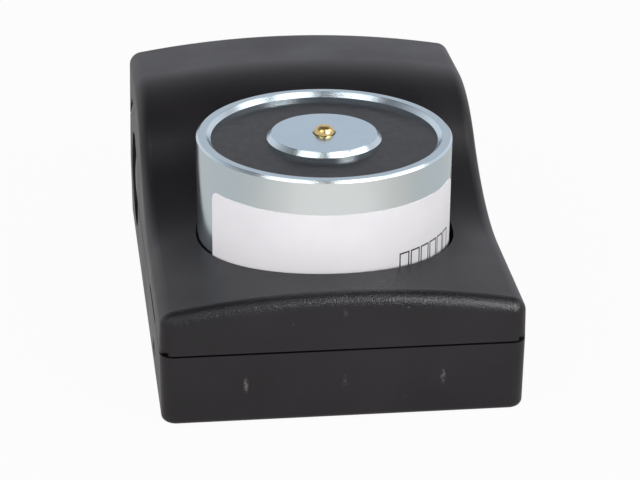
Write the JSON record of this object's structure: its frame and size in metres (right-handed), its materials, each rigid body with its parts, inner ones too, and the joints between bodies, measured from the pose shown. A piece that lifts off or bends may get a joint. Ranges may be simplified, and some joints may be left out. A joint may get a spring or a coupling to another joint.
{
  "type": "electromagnetic door holder",
  "caption": "Wall-mounted electromagnetic door holder: round holding magnet in a black two-part housing with a side release button.",
  "frame": {"origin": "centre of the back face, which goes against the wall", "axes": "+Z away from the wall along the magnet's axis, -Y towards the low front end with the magnet, +Y towards the tall end, -X towards the release button"},
  "size_m": [0.0862, 0.125, 0.0543],
  "materials": {
    "housing": "satin",
    "zinc": "satin",
    "dark_plastic": "matte",
    "copper": "satin",
    "tape": "matte",
    "resin": "gloss",
    "brass": "satin",
    "steel": "satin",
    "label_foil": "matte",
    "button": "satin",
    "board": "gloss",
    "terminal_plastic": "satin",
    "lead_dark": "satin",
    "lead_light": "satin"
  },
  "bodies": {
    "housing": {"base": "housing", "cover": "housing", "magnet_pot": "zinc", "pole_core": "zinc", "coil_bobbin": "dark_plastic", "coil_winding": "copper", "winding_tape": "tape", "potting_resin": "resin", "spring_plug": "brass", "ejector_spring": "steel", "pot_screws": "steel", "pot_washers": "steel", "label": "label_foil", "switch_cup": "dark_plastic", "button_spring": "steel", "fixed_contacts": "brass", "circuit_board": "board", "board_screws": "steel", "terminal_block": "terminal_plastic", "terminal_clamps": "brass", "terminal_screws": "steel", "coil_lead_a": "lead_dark", "coil_lead_b": "lead_light", "switch_lead_a": "lead_dark", "switch_lead_b": "lead_light", "diode": "dark_plastic"},
    "pin": {"ejector_pin": "brass"},
    "button": {"release_button": "button", "contact_bridge": "brass"}
  },
  "joints": [
    {"name": "ejector_slide", "type": "slide", "parent": "housing", "child": "pin", "axis": [0, 0, 1], "range_m": [-0.0018, 0], "stiffness_N_per_m": 2000, "springref_m": 0.001, "deforming": ["ejector_spring"]},
    {"name": "button_slide", "type": "slide", "parent": "housing", "child": "button", "axis": [1, 0, 0], "range_m": [0, 0.0025], "stiffness_N_per_m": 1500, "springref_m": -0.0008, "deforming": ["button_spring"]}
  ]
}
